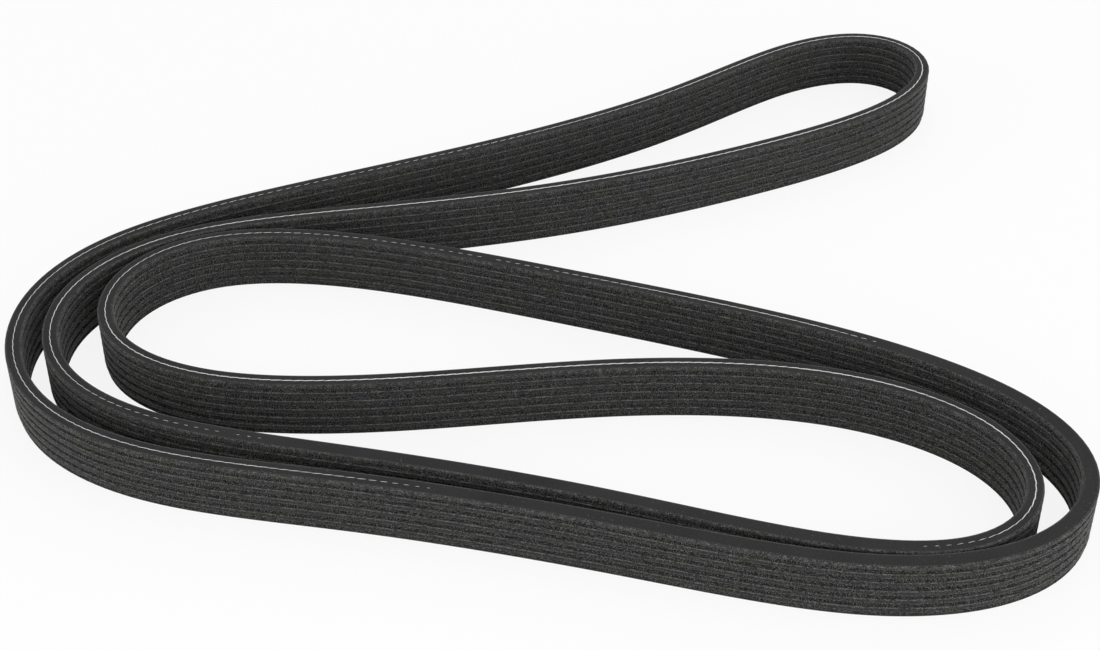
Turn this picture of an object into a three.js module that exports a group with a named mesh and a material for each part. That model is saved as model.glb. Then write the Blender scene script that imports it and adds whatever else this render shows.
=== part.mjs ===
// A serpentine belt with ribs on both faces, at rest on one cut edge in a loose closed loop.
// Lengths are millimetres. +Z runs up the width of the belt, and the plan of the loop is X by Y.
import * as THREE from "three";

// The length of the belt along the middle of its thickness.
const BELT_LENGTH = 2338;

// The section, seen along the belt: across is the thickness, up is the width.
const RIB_COUNT = 6;
const RIB_PITCH = 3.56;
const RIB_HEIGHT = 1.6;
const GROOVE_MOUTH = 1.8;
const GROOVE_FLOOR = 0.6;
const BELT_THICKNESS = 5.5;
const BEVEL_ACROSS = 0.4;
const BEVEL_UP = 0.4;
// The belt is cut from its sleeve beside a groove. This is how far up the lowest groove's middle sits.
const LOWEST_GROOVE = 1.1;

// Free space kept between strands that lie side by side.
const STRAND_GAP = 0.5;

// Control points of the loop's mid line as drawn, in order round the loop.
const HAIRPIN = [
  [5.5, 82.5],
  [85, 113],
  [143.5, 143.5],
  [158.5, 178],
  [136, 200.5],
  [96.5, 190],
];
const BACK_STRAND = [
  [48, 148],
  [-22.5, 112.5],
  [-101.5, 82.5],
];
const LEFT_OUTER_LOOP = [
  [-164, 53.5],
  [-188.5, 10],
  [-177, -37.5],
  [-133, -67],
];
const FRONT_STRAND = [
  [-61, -76],
  [21, -95.5],
];
const RIGHT_OUTER_LOOP = [
  [95, -118],
  [151, -110.5],
  [177, -76.5],
  [159.5, -35.5],
];
const CROSSING_STRAND = [
  [97, 0],
  [11.5, 28],
  [-68.5, 54],
];
const LEFT_INNER_LOOP = [
  [-126, 57],
  [-157, 29.5],
  [-154.5, -7.5],
  [-116, -31],
];
const MIDDLE_STRAND = [
  [-50.5, -30],
  [26.5, -18],
  [98, -22],
];
const RIGHT_INNER_LOOP = [
  [146, -48],
  [157, -84],
  [133, -110.5],
];
const LOWER_STRAND = [
  [83, -107],
  [13, -82],
  [-66.5, -63.5],
];
const LEFT_MIDDLE_LOOP = [
  [-135, -51],
  [-172, -20],
  [-173.5, 23.5],
  [-139, 58],
];
const RETURN_STRAND = [
  [-75, 69],
];

// How finely the loop is cut: many short steps in the bends, few long ones on the straight runs.
const LOOP_STEPS = 118;
const FINE_SAMPLES_PER_POINT = 24;
const LEAST_BEND = 1 / 1500;

// How finely the loop is looked at when its strands are spread.
const SPREAD_SAMPLES_PER_POINT = 12;

const RUBBER_COLOUR = 0x2d2d2f;
const RUBBER_ROUGHNESS = 0.86;

// Sizes that follow from the ones above.
const BELT_WIDTH = RIB_COUNT * RIB_PITCH;
const HALF_THICKNESS = BELT_THICKNESS / 2;
const STRAND_SPACING = BELT_THICKNESS + STRAND_GAP;
// Half a turn that brings the belt back beside itself is this long, so nearer samples are one strand.
const SAME_STRAND_LENGTH = (Math.PI / 2) * STRAND_SPACING;

function routePoints() {
  const runs = [
    HAIRPIN, BACK_STRAND, LEFT_OUTER_LOOP, FRONT_STRAND, RIGHT_OUTER_LOOP, CROSSING_STRAND,
    LEFT_INNER_LOOP, MIDDLE_STRAND, RIGHT_INNER_LOOP, LOWER_STRAND, LEFT_MIDDLE_LOOP, RETURN_STRAND,
  ];
  return runs.flat().map(([x, y]) => new THREE.Vector2(x, y));
}

// Weights of the four control points that shape a cubic B-spline at the share t of one span.
function splineWeights(t) {
  const s = 1 - t;
  return [
    (s * s * s) / 6,
    (3 * t * t * t - 6 * t * t + 4) / 6,
    (3 * s * s * s - 6 * s * s + 4) / 6,
    (t * t * t) / 6,
  ];
}

// Samples of the closed spline; each keeps the span and weights that made it.
function sampleLoop(points, perPoint) {
  const samples = [];
  for (let span = 0; span < points.length; span += 1) {
    for (let k = 0; k < perPoint; k += 1) {
      const weights = splineWeights(k / perPoint);
      const place = new THREE.Vector2();
      const owners = weights.map((_, i) => (span + i) % points.length);
      owners.forEach((owner, i) => place.addScaledVector(points[owner], weights[i]));
      samples.push({ place, owners, weights });
    }
  }
  return samples;
}

// Distance along the loop from its start to each sample, with the whole length at the end.
function lengthsAlong(samples) {
  const along = [0];
  samples.forEach((sample, i) => {
    const next = samples[(i + 1) % samples.length];
    along.push(along[i] + sample.place.distanceTo(next.place));
  });
  return along;
}

// Stretches the route as drawn, in plan, until its mid line is as long as the belt.
function stretchToLength(points) {
  const drawn = lengthsAlong(sampleLoop(points, FINE_SAMPLES_PER_POINT)).at(-1);
  points.forEach((point) => point.multiplyScalar(BELT_LENGTH / drawn));
  return points;
}

// The push that parts each sample from a strand that lies too near, or none.
function strandPushes(samples) {
  const along = lengthsAlong(samples);
  const whole = along[samples.length];
  return samples.map((sample, i) => {
    let nearest = null;
    let distance = STRAND_SPACING;
    samples.forEach((other, j) => {
      const apart = Math.abs(along[i] - along[j]);
      if (Math.min(apart, whole - apart) < SAME_STRAND_LENGTH) return;
      const gap = sample.place.distanceTo(other.place);
      if (gap < distance) {
        distance = gap;
        nearest = other.place;
      }
    });
    if (!nearest) return null;
    const push = sample.place.clone().sub(nearest).normalize();
    return push.multiplyScalar((STRAND_SPACING - distance) / 2);
  });
}

// Moves control points until strands that lie side by side have their free space between them.
// Every round halves what is missing at least, so one round for each point is plenty.
function spreadStrands(points) {
  for (let round = 0; round < points.length; round += 1) {
    const samples = sampleLoop(points, SPREAD_SAMPLES_PER_POINT);
    const pushes = strandPushes(samples);
    if (!pushes.some((push) => push)) return points;
    const moves = points.map(() => new THREE.Vector2());
    const shares = points.map(() => 0);
    samples.forEach((sample, i) => {
      sample.owners.forEach((owner, k) => {
        shares[owner] += sample.weights[k];
        if (pushes[i]) moves[owner].addScaledVector(pushes[i], sample.weights[k]);
      });
    });
    points.forEach((point, i) => point.addScaledVector(moves[i], 2 / shares[i]));
  }
  return points;
}

// Stations round the loop, closer together where it bends; each has a place and a side direction.
function loopStations(points) {
  const samples = sampleLoop(points, FINE_SAMPLES_PER_POINT).map((sample) => sample.place);
  const count = samples.length;
  const at = (i) => samples[(i + count) % count];
  const headings = samples.map((_, i) => at(i + 1).clone().sub(at(i - 1)).normalize());
  const crowding = [0];
  for (let i = 0; i < count; i += 1) {
    const length = at(i).distanceTo(at(i + 1));
    const turn = Math.abs(headings[i].cross(headings[(i + 1) % count]));
    crowding.push(crowding[i] + Math.sqrt(turn / length + LEAST_BEND) * length);
  }
  const stations = [];
  let i = 0;
  for (let step = 0; step < LOOP_STEPS; step += 1) {
    const target = (crowding[count] * step) / LOOP_STEPS;
    while (crowding[i + 1] < target) i += 1;
    const share = (target - crowding[i]) / (crowding[i + 1] - crowding[i]);
    const place = at(i).clone().lerp(at(i + 1), share);
    const heading = headings[i].clone().lerp(headings[(i + 1) % count], share).normalize();
    stations.push({ place, side: new THREE.Vector2(-heading.y, heading.x) });
  }
  return stations;
}

// One face of the section from its lower to its upper corner, as [across, up].
// The cut edge runs straight into the lowest groove, which so has no lower lip.
function faceOutline() {
  const tip = HALF_THICKNESS;
  const floor = HALF_THICKNESS - RIB_HEIGHT;
  const outline = [[tip - BEVEL_ACROSS, 0]];
  for (let groove = 0; groove < RIB_COUNT; groove += 1) {
    const middle = groove * RIB_PITCH + LOWEST_GROOVE;
    if (groove > 0) outline.push([tip, middle - GROOVE_MOUTH / 2]);
    outline.push(
      [floor, middle - GROOVE_FLOOR / 2],
      [floor, middle + GROOVE_FLOOR / 2],
      [tip, middle + GROOVE_MOUTH / 2],
    );
  }
  outline.push(
    [tip, BELT_WIDTH - BEVEL_UP],
    [tip - BEVEL_ACROSS, BELT_WIDTH],
  );
  return outline;
}

// The whole section, round from the lower edge of one face to the lower edge of the other.
function sectionOutline() {
  const face = faceOutline();
  const otherFace = face.map(([across, up]) => [-across, up]).reverse();
  return [...face, ...otherFace];
}

// Moves the stations so that the middle of the belt's box lies on the Z axis.
function centreStations(stations) {
  const box = new THREE.Box2();
  stations.forEach(({ place, side }) => {
    box.expandByPoint(place.clone().addScaledVector(side, HALF_THICKNESS));
    box.expandByPoint(place.clone().addScaledVector(side, -HALF_THICKNESS));
  });
  const middle = box.getCenter(new THREE.Vector2());
  stations.forEach(({ place }) => place.sub(middle));
  return stations;
}

// Sweeps the section round the stations into one closed skin that faces out.
function sweepSection(stations, outline) {
  const positions = [];
  stations.forEach(({ place, side }) => {
    outline.forEach(([across, up]) => {
      positions.push(place.x + side.x * across, place.y + side.y * across, up);
    });
  });
  const rim = outline.length;
  const triangles = [];
  stations.forEach((_, i) => {
    const here = i * rim;
    const there = ((i + 1) % stations.length) * rim;
    for (let k = 0; k < rim; k += 1) {
      const next = (k + 1) % rim;
      triangles.push(here + k, here + next, there + next);
      triangles.push(here + k, there + next, there + k);
    }
  });
  const geometry = new THREE.BufferGeometry();
  geometry.setAttribute("position", new THREE.Float32BufferAttribute(positions, 3));
  geometry.setIndex(triangles);
  geometry.computeVertexNormals();
  return geometry;
}

function rubberMaterial() {
  const material = new THREE.MeshStandardMaterial({
    color: RUBBER_COLOUR,
    roughness: RUBBER_ROUGHNESS,
    metalness: 0,
  });
  material.name = "ribbed_rubber";
  return material;
}

function beltMesh() {
  const route = spreadStrands(stretchToLength(routePoints()));
  const stations = centreStations(loopStations(route));
  const belt = new THREE.Mesh(sweepSection(stations, sectionOutline()), rubberMaterial());
  belt.name = "belt";
  return belt;
}

const part = new THREE.Group();
part.name = "serpentine_belt";
part.add(beltMesh());

export default part;
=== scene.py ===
"""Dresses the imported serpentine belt: its finely cut ribbed body and the pale cord in its cut edge."""
import math

import bpy
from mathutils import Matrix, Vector


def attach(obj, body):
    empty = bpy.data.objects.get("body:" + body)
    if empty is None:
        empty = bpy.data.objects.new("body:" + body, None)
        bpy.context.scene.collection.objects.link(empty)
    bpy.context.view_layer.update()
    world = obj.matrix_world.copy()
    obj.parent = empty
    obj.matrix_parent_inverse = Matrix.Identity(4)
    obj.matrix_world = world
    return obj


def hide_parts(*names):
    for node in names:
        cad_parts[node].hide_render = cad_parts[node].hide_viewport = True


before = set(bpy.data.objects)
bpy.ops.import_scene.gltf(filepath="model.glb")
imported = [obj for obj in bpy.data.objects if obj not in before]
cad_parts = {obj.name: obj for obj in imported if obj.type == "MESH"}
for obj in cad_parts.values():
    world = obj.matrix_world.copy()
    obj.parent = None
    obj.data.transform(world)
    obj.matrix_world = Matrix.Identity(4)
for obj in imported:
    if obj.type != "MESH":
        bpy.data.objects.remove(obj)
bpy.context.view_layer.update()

bl_info = {
    "name": "Serpentine belt",
    "version": (1, 0, 0),
    "blender": (4, 5, 0),
    "location": "3D Viewport > Sidebar > Belt",
    "description": "Builds a ribbed serpentine belt that lies on its cut edge in a loose closed loop",
    "category": "Add Mesh",
}

MM = 0.001

# Control points of the belt's mid line in plan, in millimetres, in order round the loop.
HAIRPIN = [(12.1, 41.7), (91.6, 72.2), (150.0, 102.7), (165.0, 137.2), (142.5, 159.7), (103.1, 149.2)]
BACK_STRAND = [(54.6, 107.2), (-15.9, 71.7), (-94.9, 41.7)]
LEFT_OUTER_LOOP = [(-157.4, 12.7), (-181.9, -30.8), (-170.4, -78.3), (-126.4, -107.8)]
FRONT_STRAND = [(-54.4, -116.8), (27.6, -136.3)]
RIGHT_OUTER_LOOP = [(101.6, -158.8), (157.5, -151.3), (183.5, -117.3), (166.0, -76.3)]
CROSSING_STRAND = [(103.6, -40.8), (18.1, -12.8), (-61.9, 13.2)]
LEFT_INNER_LOOP = [(-119.4, 16.2), (-150.4, -11.3), (-147.9, -48.3), (-109.4, -71.8)]
MIDDLE_STRAND = [(-43.9, -70.8), (33.1, -58.8), (104.6, -62.8)]
RIGHT_INNER_LOOP = [(152.5, -88.8), (163.5, -124.8), (139.5, -151.3)]
LOWER_STRAND = [(89.6, -147.8), (19.6, -122.8), (-59.9, -104.3)]
LEFT_MIDDLE_LOOP = [(-128.4, -91.8), (-165.4, -60.8), (-166.9, -17.3), (-132.4, 17.2)]
RETURN_STRAND = [(-68.4, 28.2)]
ROUTE = (
    HAIRPIN + BACK_STRAND + LEFT_OUTER_LOOP + FRONT_STRAND + RIGHT_OUTER_LOOP + CROSSING_STRAND
    + LEFT_INNER_LOOP + MIDDLE_STRAND + RIGHT_INNER_LOOP + LOWER_STRAND + LEFT_MIDDLE_LOOP + RETURN_STRAND
)

# How much of the tension cord shows in the upper cut edge at each control point, run by run. From about
# 0.4 up it is one line, broader towards 1. Below that it breaks into dashes, and below nought it is gone.
CORD_SHOWN = (
    [1.1, 1.15, 1.1, 0.9, 0.8, 0.8] + [0.75, 0.22, 0.22] + [0.45, 0.57, 0.57, 0.58] + [0.5, -0.8]
    + [-1.5, -1.5, -1.5, -2.5] + [1.4, 0.05, 0.22] + [0.4, 0.57, 0.6, 0.85] + [1.1, 1.1, 1.05]
    + [0.95, 1.0, 0.15] + [-0.05, -0.5, 0.06] + [0.12, 0.65, 0.6, 0.75] + [0.95]
)

# Added to the shares while they ride on the mid line as its radius, which can't go below nought.
SHARE_SHIFT = 3.0

# Under this share some bits of yarn are left out, and at nought all of them.
FULL_SHARE = 0.2

# How the length of a bit of yarn, in twist lengths, and its breadth, in cord widths, grow with the share.
BIT_LENGTH = {"low": 0.05, "high": 0.45, "to_low": 0.3, "to_high": 1.35}
BIT_BREADTH = {"low": 0.1, "high": 1.1, "to_low": 0.15, "to_high": 1.0}

# The least and the most that chance makes of the size of a bit.
BIT_VARIATION = (0.9, 1.1)

# A face belongs to a cut edge where it is this near the edge's height and its normal is this upright.
EDGE_BAND = 0.03 * MM
EDGE_LEVEL = 0.9

# How thickly the pale fibres lie on the ribs; how much paler the grooves are painted, a painted light
# against their shade; and how much fray with a painted highlight the lips and the rims of the cut edges
# get.
FIBRES_ON_RIB = 0.5
GROOVE_PAINTED_LIGHT = 1.3
LIP_FIBRES_AND_HIGHLIGHT = 0.8
RIM_FIBRES_AND_HIGHLIGHT = 0.9

# The fibres are a trace greener in some patches of the belt and more violet in others.
GREENER = (0.98, 1.04, 0.95)
MORE_VIOLET = (1.03, 0.97, 1.05)

# How far the grain of the rubber stands out, in the bump of its material.
GRAIN_HEIGHT = 0.1 * MM

# The name, the place and the side in metres, and the power in watts of each square lamp.
LAMPS = (
    ("lamp_over", (0.1, 0.0, 1.5), 1.6, 2.6),
    ("lamp_back", (0.3, 1.2, 0.9), 1.0, 2.8),
    ("lamp_front", (0.1, -0.75, 0.3), 0.6, 2.1),
    ("lamp_left", (-1.4, -0.3, 0.4), 0.8, 4.0),
    ("lamp_right", (1.4, -0.45, 0.4), 0.8, 6.2),
)

# How bright the white world is as a light, and how much plain white hides the shading of the floor.
WORLD_LIGHT = 0.62
FLOOR_GLOW = 0.86

# How far the floor reaches to each side, in metres.
FLOOR_REACH = 6.0

# The photo's camera, in the frame of the CAD.
CAMERA_TARGET = Vector((0.00657, -0.04079, 0.02136))
CAMERA_DISTANCE = 0.696
CAMERA_ELEVATION = math.radians(38.15)
CAMERA_LENS = 66.47


class BeltSizes(bpy.types.PropertyGroup):
    """Sizes of the belt's section and how finely it is cut."""

    rib_count: bpy.props.IntProperty(
        name="Ribs", description="Ribs on each face", default=6, min=2, max=12,
    )
    rib_pitch: bpy.props.FloatProperty(
        name="Rib pitch", description="Distance from one rib to the next",
        default=3.56 * MM, unit="LENGTH", precision=5,
    )
    rib_height: bpy.props.FloatProperty(
        name="Rib height", description="Depth of the grooves between ribs",
        default=1.6 * MM, unit="LENGTH", precision=5,
    )
    groove_mouth: bpy.props.FloatProperty(
        name="Groove mouth", description="Width of a groove at the rib tops",
        default=1.8 * MM, unit="LENGTH", precision=5,
    )
    groove_floor: bpy.props.FloatProperty(
        name="Groove floor", description="Width of a groove at its bottom",
        default=0.6 * MM, unit="LENGTH", precision=5,
    )
    thickness: bpy.props.FloatProperty(
        name="Thickness", description="Thickness of the belt over its ribs",
        default=5.5 * MM, unit="LENGTH", precision=5,
    )
    lowest_groove: bpy.props.FloatProperty(
        name="Lowest groove", description="Height of the lowest groove's middle above the lower cut edge",
        default=1.1 * MM, unit="LENGTH", precision=5,
    )
    bevel: bpy.props.FloatProperty(
        name="Edge bevel", description="Worn corner between a rib face and a cut edge",
        default=0.4 * MM, unit="LENGTH", precision=5,
    )
    stations: bpy.props.IntProperty(
        name="Stations", description="Sections round the loop", default=680, min=100, max=2000,
    )


class BeltLooks(bpy.types.PropertyGroup):
    """Colours of the belt's rubber, fibres and cord."""

    rubber: bpy.props.FloatVectorProperty(
        name="Rubber", description="Black rubber between the fibres",
        subtype="COLOR", size=3, min=0, max=1, default=(0.008, 0.008, 0.0085),
    )
    fibre: bpy.props.FloatVectorProperty(
        name="Fibres", description="Short fibres that lie open on the ribs",
        subtype="COLOR", size=3, min=0, max=1, default=(0.172, 0.172, 0.163),
    )
    cut_face: bpy.props.FloatVectorProperty(
        name="Cut edge", description="Smooth rubber where the belt was cut from its sleeve",
        subtype="COLOR", size=3, min=0, max=1, default=(0.0194, 0.0194, 0.0205),
    )
    cord: bpy.props.FloatVectorProperty(
        name="Cord", description="Tension cord that shows in the cut edge",
        subtype="COLOR", size=3, min=0, max=1, default=(0.77, 0.78, 0.77),
    )


class CordSizes(bpy.types.PropertyGroup):
    """Sizes of the tension cord that shows in the upper cut edge."""

    width: bpy.props.FloatProperty(
        name="Cord width", description="Width of the cord in the cut edge",
        default=0.5 * MM, unit="LENGTH", precision=5,
    )
    proud: bpy.props.FloatProperty(
        name="Cord height", description="How far the cord stands out of the cut edge",
        default=0.1 * MM, unit="LENGTH", precision=5,
    )
    height: bpy.props.FloatProperty(
        name="Bit height", description="Height of one bit of yarn, most of it sunk in the edge",
        default=0.4 * MM, unit="LENGTH", precision=5,
    )
    slant: bpy.props.FloatProperty(
        name="Slant", description="Turn of each bit of yarn across the cord",
        default=math.radians(4.0), subtype="ANGLE",
    )
    twist_length: bpy.props.FloatProperty(
        name="Twist length", description="Distance between two turns of the yarn along the cord",
        default=3.6 * MM, unit="LENGTH", precision=5,
    )
    seed: bpy.props.IntProperty(name="Seed", description="Seed of the bare dashes", default=4, min=0)


def face_outline(sizes):
    """One face of the section, upwards, as (across, up, painted groove light, lip fray and highlight)."""
    half = sizes.thickness / 2
    width = sizes.rib_count * sizes.rib_pitch
    mouth = sizes.groove_mouth / 2
    deep = sizes.rib_height
    floor = sizes.groove_floor / 2
    bevel = sizes.bevel
    # The depth of the round-over at a rib's lips.
    lip = 0.2 * MM
    # Lip share: frayed fibres and a painted highlight from above, full on upper lips, weaker on lower ones.
    outline = [
        # The bottom lip gets little of the lip share, a painted shade where the belt meets the floor.
        (half - bevel, 0.0, 0.0, 0.2),
        (half - bevel * 1.1, bevel * 0.2, 0.0, 0.1),
    ]
    for groove in range(sizes.rib_count):
        middle = groove * sizes.rib_pitch + sizes.lowest_groove
        if groove > 0:
            lower = middle - sizes.rib_pitch + mouth
            upper = middle - mouth
            outline += [
                (half - lip, lower, 0.2, 0.1),
                (half - lip * 0.25, lower + lip * 0.6, 0.0, 0.35),
                (half, lower + lip * 1.6, 0.0, 0.1),
                (half, (lower + upper) / 2, 0.0, 0.0),
                (half, upper - lip * 1.5, 0.0, 0.0),
                (half - lip * 0.25, upper - lip * 0.6, 0.0, 1.0),
                (half - lip, upper, 0.0, 1.0),
                (half - lip * 2, upper + lip * 0.4, 0.2, 0.0),
            ]
        outline += [
            # A groove share of 1 paints the groove floor paler, a painted light against its shade.
            (half - deep, middle - floor, 1.0, 0.0),
            (half - deep, middle + floor, 1.0, 0.0),
        ]
    last = (sizes.rib_count - 1) * sizes.rib_pitch + sizes.lowest_groove + mouth
    outline += [
        (half - lip, last, 0.2, 0.1),
        (half - lip * 0.25, last + lip * 0.6, 0.0, 0.35),
        (half, last + lip * 1.6, 0.0, 0.1),
        (half, width - bevel * 2.5, 0.0, 0.2),
        (half, width - bevel, 0.0, 0.4),
        (half - bevel * 0.3, width - bevel * 0.3, 0.0, 0.35),
        (half - bevel, width, 0.0, 0.25),
    ]
    return outline


def section_outline(sizes):
    """The whole closed section, round one face, the upper edge, the other face and the lower edge."""
    face = face_outline(sizes)
    width = sizes.rib_count * sizes.rib_pitch
    reach = sizes.thickness / 2 - sizes.bevel
    # The outer rims of each cut edge get frayed fibres with a painted highlight.
    edge = [(0.93, 0.6), (0.84, 0.0), (0.0, 0.0), (-0.84, 0.0), (-0.93, 0.6)]
    upper = [(reach * share, width, 0.0, edge_fray_and_highlight) for share, edge_fray_and_highlight in edge]
    lower = [(-reach * share, 0.0, 0.0, edge_fray_and_highlight) for share, edge_fray_and_highlight in edge]
    other = [(-across, up, groove, fray_and_highlight) for across, up, groove, fray_and_highlight in reversed(face)]
    return face + upper + other + lower


def make_section(sizes):
    """A closed ring of edges with the section's shape, used as the profile of the sweep."""
    # The sweep lays the profile's Y axis downwards, so the ring is drawn upside down and taken in reverse.
    outline = section_outline(sizes)[::-1]
    mesh = bpy.data.meshes.new("belt_section")
    count = len(outline)
    mesh.from_pydata(
        [(across, -up, 0.0) for across, up, _, _ in outline],
        [(i, (i + 1) % count) for i in range(count)], [],
    )
    # The groove share is painted light; the lip share is frayed fibres with a painted highlight.
    for name, place in (("groove", 2), ("fray_and_highlight", 3)):
        layer = mesh.attributes.new(name, "FLOAT", "POINT")
        layer.data.foreach_set("value", [point[place] for point in outline])
    section = bpy.data.objects.new("belt_section", mesh)
    bpy.context.scene.collection.objects.link(section)
    return section


def make_rail(name, height):
    """The belt's mid line as a closed smooth curve; its radius tells how much cord shows."""
    curve = bpy.data.curves.new(name, "CURVE")
    curve.dimensions = "3D"
    spline = curve.splines.new("NURBS")
    spline.points.add(len(ROUTE) - 1)
    for point, (x, y), shown in zip(spline.points, ROUTE, CORD_SHOWN):
        point.co = (x * MM, y * MM, height, 1.0)
        point.radius = shown + SHARE_SHIFT
    spline.order_u = 4
    spline.use_cyclic_u = True
    spline.resolution_u = 24
    rail = bpy.data.objects.new(name, curve)
    bpy.context.scene.collection.objects.link(rail)
    return rail


class Tree:
    """A small helper that adds nodes and links to a node tree."""

    def __init__(self, tree):
        self.tree = tree

    def node(self, kind, inputs=None, **settings):
        """Adds a node with its settings and with what its inputs get."""
        made = self.tree.nodes.new(kind)
        for key, value in settings.items():
            setattr(made, key, value)
        for key, value in (inputs or {}).items():
            self.feed(made.inputs[key], value)
        return made

    def feed(self, socket, value):
        """Links an input to another node's output, or sets its value."""
        if isinstance(value, bpy.types.NodeSocket):
            self.tree.links.new(value, socket)
        else:
            socket.default_value = value

    def math(self, operation, *values):
        """Adds one step of arithmetic and returns its result."""
        made = self.node("ShaderNodeMath", operation=operation)
        for socket, value in zip(made.inputs, values):
            self.feed(socket, value)
        return made.outputs[0]


def spread(t, value, low, high, to_low=0.0, to_high=1.0):
    """Maps a number from one range to another, held at its ends."""
    made = t.node("ShaderNodeMapRange", {
        "Value": value, "From Min": low, "From Max": high, "To Min": to_low, "To Max": to_high,
    })
    return made.outputs[0]


def random_number(t, low, high, seed):
    """A random number for each point. The node's third and fourth inputs are the ends of its range."""
    made = t.node("FunctionNodeRandomValue", {2: low, 3: high, "Seed": seed}, data_type="FLOAT")
    return made.outputs[1]


def new_geometry_tree(name, sockets):
    """A geometry tree with a geometry input and output and the named inputs."""
    tree = bpy.data.node_groups.new(name, "GeometryNodeTree")
    tree.interface.new_socket("Geometry", in_out="INPUT", socket_type="NodeSocketGeometry")
    identifiers = {}
    for label, kind in sockets:
        identifiers[label] = tree.interface.new_socket(label, in_out="INPUT", socket_type=kind).identifier
    tree.interface.new_socket("Geometry", in_out="OUTPUT", socket_type="NodeSocketGeometry")
    return tree, identifiers


def edge_faces(t, width):
    """Picks the level faces at the bottom and at the top of the belt, which are its cut edges."""
    place = t.node("GeometryNodeInputPosition").outputs[0]
    height = t.node("ShaderNodeSeparateXYZ", {0: place}).outputs["Z"]
    middle = t.math("MULTIPLY", width, 0.5)
    away = t.math("ABSOLUTE", t.math("SUBTRACT", height, middle))
    outer = t.math("GREATER_THAN", away, t.math("SUBTRACT", middle, EDGE_BAND))
    normal = t.node("GeometryNodeInputNormal").outputs[0]
    upright = t.math("ABSOLUTE", t.node("ShaderNodeSeparateXYZ", {0: normal}).outputs["Z"])
    return t.math("MULTIPLY", outer, t.math("GREATER_THAN", upright, EDGE_LEVEL))


def sweep_tree():
    """Sweeps the section round the rail and gives the cut edges their own material."""
    tree, identifiers = new_geometry_tree("Belt sweep", [
        ("Section", "NodeSocketObject"),
        ("Stations", "NodeSocketInt"),
        ("Edge width", "NodeSocketFloat"),
        ("Rib rubber", "NodeSocketMaterial"),
        ("Cut edge", "NodeSocketMaterial"),
    ])
    t = Tree(tree)
    given = t.node("NodeGroupInput").outputs
    upright = t.node("GeometryNodeSetCurveNormal", {"Curve": given["Geometry"]}, mode="Z_UP")
    stations = t.node("GeometryNodeResampleCurve", {
        "Curve": upright.outputs[0], "Count": given["Stations"],
    }, mode="COUNT")
    even = t.node("GeometryNodeSetCurveRadius", {"Curve": stations.outputs[0], "Radius": 1.0})
    section = t.node("GeometryNodeObjectInfo", {"Object": given["Section"]})
    profile = t.node("GeometryNodeMeshToCurve", {"Mesh": section.outputs["Geometry"]})
    sweep = t.node("GeometryNodeCurveToMesh", {
        "Curve": even.outputs[0], "Profile Curve": profile.outputs[0],
    })
    smooth = t.node("GeometryNodeSetShadeSmooth", {"Geometry": sweep.outputs[0]})
    real = t.node("GeometryNodeRealizeInstances", {"Geometry": smooth.outputs[0]})
    ribs = t.node("GeometryNodeSetMaterial", {"Geometry": real.outputs[0], "Material": given["Rib rubber"]})
    edges = t.node("GeometryNodeSetMaterial", {
        "Geometry": ribs.outputs[0],
        "Selection": edge_faces(t, given["Edge width"]),
        "Material": given["Cut edge"],
    })
    t.node("NodeGroupOutput", {"Geometry": edges.outputs[0]})
    return tree, identifiers


def cord_tree():
    """Lays a slanted bit of yarn for each turn of the cord, smaller where less of it shows."""
    tree, identifiers = new_geometry_tree("Cord bits", [
        ("Twist length", "NodeSocketFloat"),
        ("Width", "NodeSocketFloat"),
        ("Height", "NodeSocketFloat"),
        ("Slant", "NodeSocketFloat"),
        ("Seed", "NodeSocketInt"),
        ("Yarn", "NodeSocketMaterial"),
    ])
    t = Tree(tree)
    given = t.node("NodeGroupInput").outputs
    row = t.node("GeometryNodeResampleCurve", {
        "Curve": given["Geometry"], "Length": given["Twist length"],
    }, mode="LENGTH")
    shown = t.math("SUBTRACT", t.node("GeometryNodeInputRadius").outputs[0], SHARE_SHIFT)
    chance = random_number(t, 0.0, 1.0, given["Seed"])
    limit = t.math("MULTIPLY", shown, 1 / FULL_SHARE)
    kept = t.node("FunctionNodeCompare", {0: chance, 1: limit}, data_type="FLOAT", operation="LESS_THAN")
    tangent = t.node("GeometryNodeInputTangent").outputs[0]
    facing = t.node("FunctionNodeAlignRotationToVector", {"Vector": tangent}, axis="X", pivot_axis="Z")
    slant = t.node("ShaderNodeCombineXYZ", {"Z": given["Slant"]})
    turn = t.node("FunctionNodeEulerToRotation", {0: slant.outputs[0]})
    laid = t.node("FunctionNodeRotateRotation", {
        "Rotation": facing.outputs[0], "Rotate By": turn.outputs[0],
    }, rotation_space="LOCAL")
    size = random_number(t, *BIT_VARIATION, t.math("ADD", given["Seed"], 1.0))
    reach = t.math("MULTIPLY", given["Twist length"], spread(t, shown, **BIT_LENGTH))
    breadth = t.math("MULTIPLY", given["Width"], spread(t, shown, **BIT_BREADTH))
    long = t.math("MULTIPLY", reach, size)
    wide = t.math("MULTIPLY", breadth, size)
    scale = t.node("ShaderNodeCombineXYZ", {"X": long, "Y": wide, "Z": given["Height"]})
    bit = t.node("GeometryNodeMeshIcoSphere", {"Radius": 0.5, "Subdivisions": 3})
    bits = t.node("GeometryNodeInstanceOnPoints", {
        "Points": row.outputs[0], "Selection": kept.outputs[0], "Instance": bit.outputs[0],
        "Rotation": laid.outputs[0], "Scale": scale.outputs[0],
    })
    real = t.node("GeometryNodeRealizeInstances", {"Geometry": bits.outputs[0]})
    smooth = t.node("GeometryNodeSetShadeSmooth", {"Geometry": real.outputs[0]})
    yarn = t.node("GeometryNodeSetMaterial", {"Geometry": smooth.outputs[0], "Material": given["Yarn"]})
    t.node("NodeGroupOutput", {"Geometry": yarn.outputs[0]})
    return tree, identifiers


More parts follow.
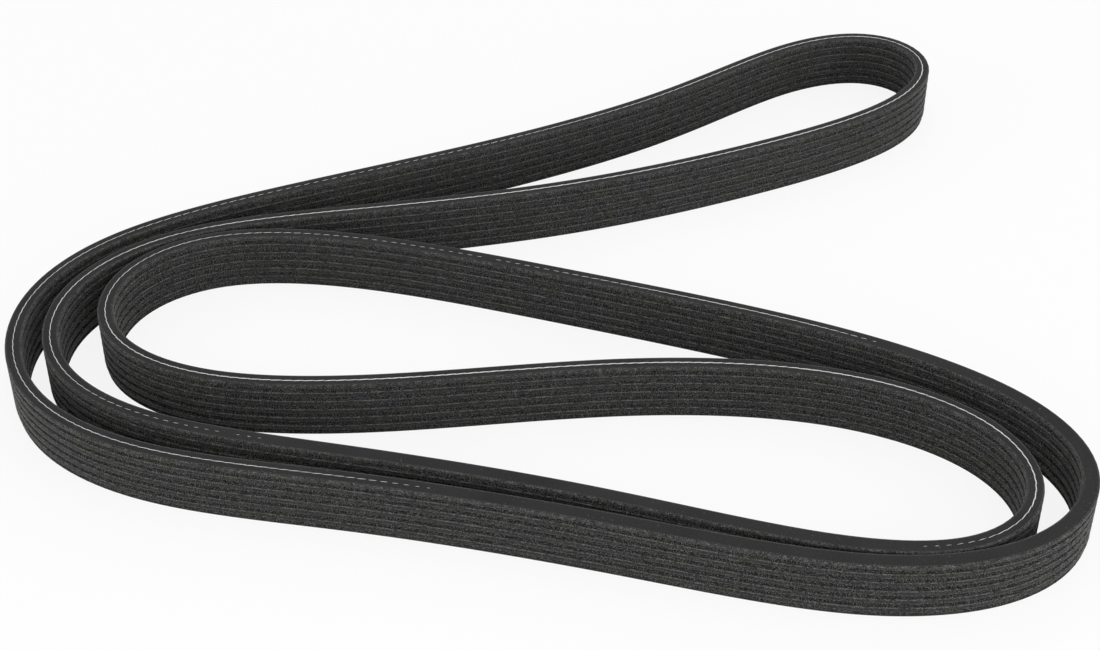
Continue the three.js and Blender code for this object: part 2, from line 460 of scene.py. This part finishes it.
def apply_nodes(thing, tree, identifiers, values, name):
    """Runs the tree on an object and returns the result as a plain mesh object at the origin."""
    modifier = thing.modifiers.new("Nodes", "NODES")
    modifier.node_group = tree
    for label, value in values.items():
        modifier[identifiers[label]] = value
    bpy.context.view_layer.update()
    depsgraph = bpy.context.evaluated_depsgraph_get()
    mesh = bpy.data.meshes.new_from_object(thing.evaluated_get(depsgraph), depsgraph=depsgraph)
    mesh.name = name
    # A mesh that began inside the tree has an empty material slot in front, which nothing uses.
    for slot in reversed(range(len(mesh.materials))):
        if mesh.materials[slot] is None:
            mesh.materials.pop(index=slot)
    bpy.data.objects.remove(thing, do_unlink=True)
    piece = bpy.data.objects.new(name, mesh)
    bpy.context.scene.collection.objects.link(piece)
    if not mesh.polygons:
        raise RuntimeError(f"{name} came out empty")
    return piece


def shader(name, settings):
    """A new material whose tree holds only its shader and output."""
    material = bpy.data.materials.new(name)
    material.use_nodes = True
    material.node_tree.nodes.clear()
    t = Tree(material.node_tree)
    surface = t.node("ShaderNodeBsdfPrincipled", settings)
    t.node("ShaderNodeOutputMaterial", {"Surface": surface.outputs[0]})
    return material, t, surface


def noise(t, scale, detail=2.0, roughness=0.5):
    """Noise on object coordinates, as a number. Its scale is about the number of spots in a metre."""
    place = t.node("ShaderNodeTexCoord").outputs["Object"]
    made = t.node("ShaderNodeTexNoise", {
        "Vector": place, "Scale": scale, "Detail": detail, "Roughness": roughness,
    })
    return made.outputs["Fac"]


def specks(t, least):
    """The short fibres as fine specks. The lower the least level that counts, the more of them show."""
    return spread(t, noise(t, 3600.0, detail=1.0, roughness=0.6), least, 0.60)


def section_share(t, name):
    """The groove share (painted light) or lip share (fray and painted highlight) carried along the sweep.
    """
    return t.node("ShaderNodeAttribute", attribute_name=name).outputs["Fac"]


def blend(t, share, first, second):
    """Mixes two colours. They are the mix node's seventh and eighth inputs and its third output."""
    made = t.node("ShaderNodeMix", {0: share, 6: first, 7: second}, data_type="RGBA")
    return made.outputs[2]


def shaded(t, colour, share):
    """A colour made darker or lighter by a share."""
    made = t.node("ShaderNodeVectorMath", {0: tuple(colour), "Scale": share}, operation="SCALE")
    return made.outputs[0]


def tinted(colour, tint):
    """A colour with each of its channels changed by the tint's share."""
    return (*(channel * share for channel, share in zip(colour, tint)), 1.0)


def roughen(t, surface, height, strength):
    """Lets a pattern stand out of the surface as a fine bump."""
    bump = t.node("ShaderNodeBump", {"Height": height, "Strength": strength, "Distance": GRAIN_HEIGHT})
    t.feed(surface.inputs["Normal"], bump.outputs[0])


def rib_rubber(looks):
    """Black rubber with short pale fibres, painted light in the grooves and a painted highlight on frayed
    lips.
    """
    material, t, surface = shader("rib_rubber", {
        "Roughness": 0.75, "Specular IOR Level": 0.15, "Sheen Weight": 0.16, "Sheen Roughness": 0.4,
    })
    fleck = specks(t, 0.55)
    patch = spread(t, noise(t, 300.0), 0.35, 0.65, 0.9, 1.08)
    plain = t.math("MULTIPLY", t.math("MULTIPLY", fleck, FIBRES_ON_RIB), patch)
    # Painted light: the grooves get more pale fibres, to offset the shade that falls in them.
    groove_light = t.math("MULTIPLY", section_share(t, "groove"), GROOVE_PAINTED_LIGHT)
    plain = t.math("MULTIPLY", plain, t.math("ADD", groove_light, 1.0))
    # Painted highlight with the fray: the lip share is strongest on upper lips, where light falls from
    # above.
    lip_dashes = spread(t, noise(t, 600.0), 0.42, 0.58, 0.25, 1.0)
    lip = t.math("MULTIPLY", t.math("MULTIPLY", section_share(t, "fray_and_highlight"), lip_dashes), LIP_FIBRES_AND_HIGHLIGHT)
    lip = t.math("MULTIPLY", lip, t.math("ADD", fleck, 0.5))
    amount = t.math("ADD", plain, lip)
    hue = spread(t, noise(t, 110.0, detail=1.0), 0.40, 0.60)
    fibres = blend(t, hue, tinted(looks.fibre, GREENER), tinted(looks.fibre, MORE_VIOLET))
    t.feed(surface.inputs["Base Color"], blend(t, amount, (*looks.rubber, 1.0), fibres))
    roughen(t, surface, fleck, 0.4)
    return material


def cut_rubber(looks):
    """Smooth matte rubber of the cut edges, with faint lint and a frayed rim that also carries a painted
    highlight.
    """
    material, t, surface = shader("cut_rubber", {"Roughness": 0.7, "Specular IOR Level": 0.15})
    grain = spread(t, noise(t, 2200.0), 0.35, 0.65, 0.7, 1.3)
    cloud = spread(t, noise(t, 45.0), 0.35, 0.65, 0.85, 1.15)
    base = shaded(t, looks.cut_face, t.math("MULTIPLY", grain, cloud))
    lint = spread(t, noise(t, 900.0, detail=1.0), 0.70, 0.78, 0.0, 0.25)
    # Frayed fibres on the rims of the cut edges, raised into a painted highlight.
    rim_fray_and_highlight = t.math("MULTIPLY", section_share(t, "fray_and_highlight"), specks(t, 0.50))
    lint = t.math("MAXIMUM", lint, t.math("MULTIPLY", rim_fray_and_highlight, RIM_FIBRES_AND_HIGHLIGHT))
    t.feed(surface.inputs["Base Color"], blend(t, lint, base, (*looks.fibre, 1.0)))
    roughen(t, surface, grain, 0.15)
    return material


def cord_yarn(looks):
    """Pale dry yarn of the tension cord."""
    material, t, surface = shader("cord_yarn", {"Roughness": 0.85, "Specular IOR Level": 0.2})
    grain = spread(t, noise(t, 2600.0, detail=1.0), 0.35, 0.65, 0.75, 1.0)
    t.feed(surface.inputs["Base Color"], shaded(t, looks.cord, grain))
    return material


class BELT_OT_body(bpy.types.Operator):
    """Build the ribbed belt body by sweeping its section round the loop"""

    bl_idname = "belt.body"
    bl_label = "Belt body"
    bl_options = {"REGISTER", "UNDO"}

    def execute(self, context):
        sizes = context.scene.belt_sizes
        looks = context.scene.belt_looks
        tree, identifiers = sweep_tree()
        section = make_section(sizes)
        body = apply_nodes(make_rail("belt_rail", 0.0), tree, identifiers, {
            "Section": section,
            "Stations": sizes.stations,
            "Edge width": sizes.rib_count * sizes.rib_pitch,
            "Rib rubber": rib_rubber(looks),
            "Cut edge": cut_rubber(looks),
        }, "belt_body")
        bpy.data.objects.remove(section, do_unlink=True)
        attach(body, "root")
        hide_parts("belt")
        return {"FINISHED"}


class BELT_OT_cord(bpy.types.Operator):
    """Lay the tension cord that shows in the upper cut edge"""

    bl_idname = "belt.cord"
    bl_label = "Tension cord"
    bl_options = {"REGISTER", "UNDO"}

    def execute(self, context):
        sizes = context.scene.belt_sizes
        cord = context.scene.belt_cord
        tree, identifiers = cord_tree()
        top = sizes.rib_count * sizes.rib_pitch + cord.proud - cord.height / 2
        piece = apply_nodes(make_rail("cord_rail", top), tree, identifiers, {
            "Twist length": cord.twist_length,
            "Width": cord.width,
            "Height": cord.height,
            "Slant": cord.slant,
            "Seed": cord.seed,
            "Yarn": cord_yarn(context.scene.belt_looks),
        }, "tension_cord")
        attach(piece, "root")
        return {"FINISHED"}


class BELT_OT_stage(bpy.types.Operator):
    """Set up the floor, the lights, the backdrop and the camera"""

    bl_idname = "belt.stage"
    bl_label = "Stage"
    bl_options = {"REGISTER", "UNDO"}

    def execute(self, context):
        make_floor()
        make_lights()
        make_world(context.scene)
        make_camera(context.scene)
        context.scene.view_settings.view_transform = "Standard"
        return {"FINISHED"}


def seen_share(t):
    """1 for a ray that the camera sees, straight or by way of a shiny or clear surface, and 0 for light."""
    rays = t.node("ShaderNodeLightPath").outputs
    mirrored = t.math("MAXIMUM", rays["Is Glossy Ray"], rays["Is Transmission Ray"])
    return t.math("MAXIMUM", rays["Is Camera Ray"], mirrored)


def make_floor():
    """A wide white floor that shows nearly white to the camera and keeps a soft shadow."""
    corners = [(x * FLOOR_REACH, y * FLOOR_REACH, 0.0) for x, y in ((-1, -1), (1, -1), (1, 1), (-1, 1))]
    mesh = bpy.data.meshes.new("floor")
    mesh.from_pydata(corners, [], [(0, 1, 2, 3)])
    floor = bpy.data.objects.new("floor", mesh)
    bpy.context.scene.collection.objects.link(floor)
    material, t, surface = shader("floor_white", {
        "Base Color": (0.92, 0.92, 0.92, 1.0), "Roughness": 0.9, "Specular IOR Level": 0.0,
    })
    glow = t.math("MULTIPLY", seen_share(t), FLOOR_GLOW)
    white = t.node("ShaderNodeEmission", {"Color": (1, 1, 1, 1), "Strength": 1.0})
    mix = t.node("ShaderNodeMixShader", {0: glow, 1: surface.outputs[0], 2: white.outputs[0]})
    output = next(node for node in material.node_tree.nodes if node.type == "OUTPUT_MATERIAL")
    t.feed(output.inputs["Surface"], mix.outputs[0])
    mesh.materials.append(material)


def make_lights():
    """The large soft lamps, each turned towards the middle of the loop."""
    for name, place, side, power in LAMPS:
        data = bpy.data.lights.new(name, "AREA")
        data.shape = "SQUARE"
        data.size = side
        data.energy = power
        lamp = bpy.data.objects.new(name, data)
        lamp.location = place
        lamp.rotation_euler = (-Vector(place)).to_track_quat("-Z", "Y").to_euler()
        bpy.context.scene.collection.objects.link(lamp)


def make_world(scene):
    """An even pale world that shows white to the camera."""
    world = bpy.data.worlds.new("studio")
    scene.world = world
    world.use_nodes = True
    world.node_tree.nodes.clear()
    t = Tree(world.node_tree)
    strength = spread(t, seen_share(t), 0.0, 1.0, WORLD_LIGHT, 1.0)
    back = t.node("ShaderNodeBackground", {"Color": (1, 1, 1, 1), "Strength": strength})
    t.node("ShaderNodeOutputWorld", {"Surface": back.outputs[0]})


def make_camera(scene):
    """The camera at the photo's angle and distance."""
    data = bpy.data.cameras.new("camera")
    data.sensor_width = 36.0
    data.lens = CAMERA_LENS
    data.clip_start = 0.01
    data.clip_end = 50.0
    camera = bpy.data.objects.new("camera", data)
    back = Vector((0.0, -math.cos(CAMERA_ELEVATION), math.sin(CAMERA_ELEVATION)))
    camera.location = CAMERA_TARGET + back * CAMERA_DISTANCE
    camera.rotation_euler = (math.pi / 2 - CAMERA_ELEVATION, 0.0, 0.0)
    scene.collection.objects.link(camera)
    scene.camera = camera


class BELT_PT_panel(bpy.types.Panel):
    """The belt's sizes, looks and build steps"""

    bl_idname = "BELT_PT_panel"
    bl_label = "Serpentine belt"
    bl_space_type = "VIEW_3D"
    bl_region_type = "UI"
    bl_category = "Belt"

    def draw(self, context):
        scene = context.scene
        for title, group in (
            ("Section", scene.belt_sizes), ("Cord", scene.belt_cord), ("Looks", scene.belt_looks),
        ):
            box = self.layout.box()
            box.label(text=title)
            for key in group.__annotations__:
                box.prop(group, key)
        for step in (BELT_OT_body, BELT_OT_cord, BELT_OT_stage):
            self.layout.operator(step.bl_idname)


CLASSES = (BeltSizes, BeltLooks, CordSizes, BELT_OT_body, BELT_OT_cord, BELT_OT_stage, BELT_PT_panel)


def register():
    for cls in CLASSES:
        bpy.utils.register_class(cls)
    bpy.types.Scene.belt_sizes = bpy.props.PointerProperty(type=BeltSizes)
    bpy.types.Scene.belt_looks = bpy.props.PointerProperty(type=BeltLooks)
    bpy.types.Scene.belt_cord = bpy.props.PointerProperty(type=CordSizes)


def unregister():
    del bpy.types.Scene.belt_cord
    del bpy.types.Scene.belt_looks
    del bpy.types.Scene.belt_sizes
    for cls in reversed(CLASSES):
        bpy.utils.unregister_class(cls)


def main():
    register()
    bpy.ops.belt.body()
    bpy.ops.belt.cord()
    bpy.ops.belt.stage()


if __name__ == "__main__":
    main()
